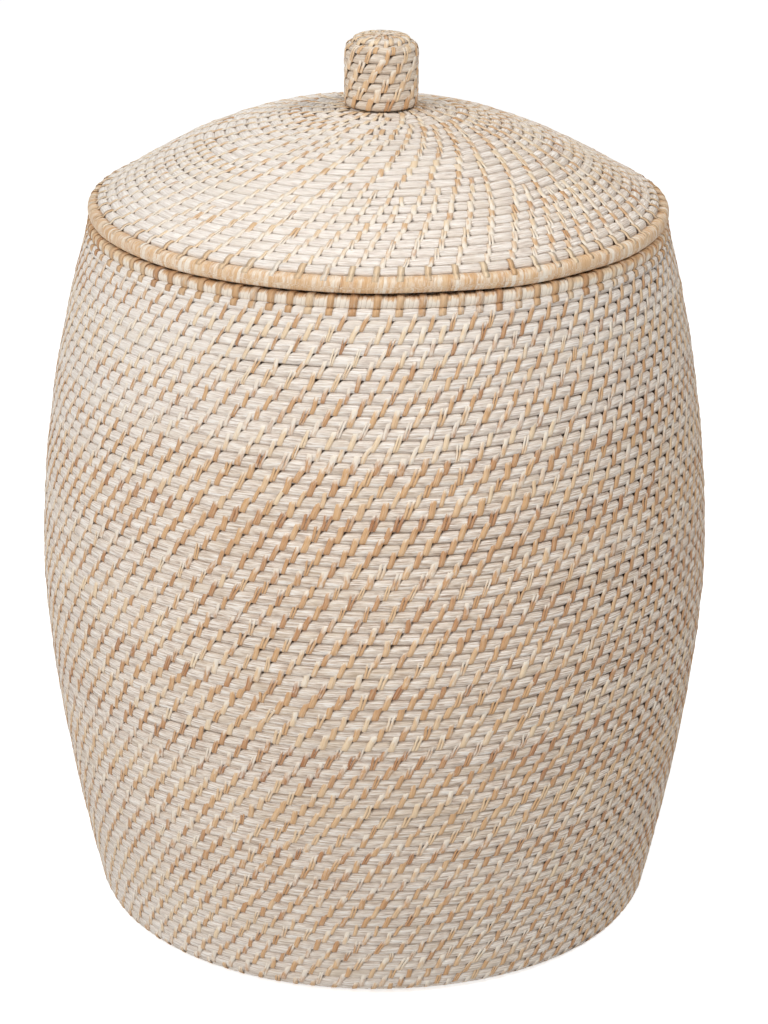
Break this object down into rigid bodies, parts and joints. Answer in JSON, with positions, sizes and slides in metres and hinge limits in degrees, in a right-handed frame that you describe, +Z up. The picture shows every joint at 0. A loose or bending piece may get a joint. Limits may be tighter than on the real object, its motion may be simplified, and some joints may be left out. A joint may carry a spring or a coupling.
{
  "type": "lidded laundry basket",
  "caption": "Tall barrel-shaped laundry basket of coiled, whitewashed rattan with a domed lid that lifts off by a coiled knob.",
  "frame": {"origin": "centre of the foot circle on the surface the basket stands on", "axes": "+Z up along the axis of the basket and the way the lid lifts; +X and +Y are square to it and alike, because the basket is round"},
  "size_m": [0.47, 0.47, 0.6198],
  "materials": {
    "limed_cane": "whitewashed rattan core bound with slanting strips of tan peel, matt",
    "peel_wrap": "close wrapping of natural rattan peel, satin",
    "knob_cane": "tightly coiled rattan with whitewash rubbed into the gaps, matt",
    "core_wood": "plain turned wood, out of sight"
  },
  "bodies": {
    "basket": {"base_coil_1": "limed_cane", "base_coil_2": "limed_cane", "base_coil_3": "limed_cane", "foot_coil": "limed_cane", "wall_coil_01": "limed_cane", "wall_coil_02": "limed_cane", "wall_coil_03": "limed_cane", "wall_coil_04": "limed_cane", "wall_coil_05": "limed_cane", "wall_coil_06": "limed_cane", "wall_coil_07": "limed_cane", "wall_coil_08": "limed_cane", "wall_coil_09": "limed_cane", "wall_coil_10": "limed_cane", "wall_coil_11": "limed_cane", "wall_coil_12": "limed_cane", "wall_coil_13": "limed_cane", "wall_coil_14": "limed_cane", "wall_coil_15": "limed_cane", "wall_coil_16": "limed_cane", "collar_coil": "limed_cane", "mouth_rim": "peel_wrap"},
    "lid": {"lid_rim": "peel_wrap", "lid_coil_1": "limed_cane", "lid_coil_2": "limed_cane", "lid_coil_3": "limed_cane", "lid_coil_4": "limed_cane", "lid_seat_ring": "limed_cane", "knob_core": "core_wood", "knob_coil": "knob_cane", "knob_crown": "knob_cane"}
  },
  "joints": [
    {"name": "lid_lift", "type": "slide", "parent": "basket", "child": "lid", "axis": [0, 0, 1], "range_m": [0, 0.4]}
  ]
}
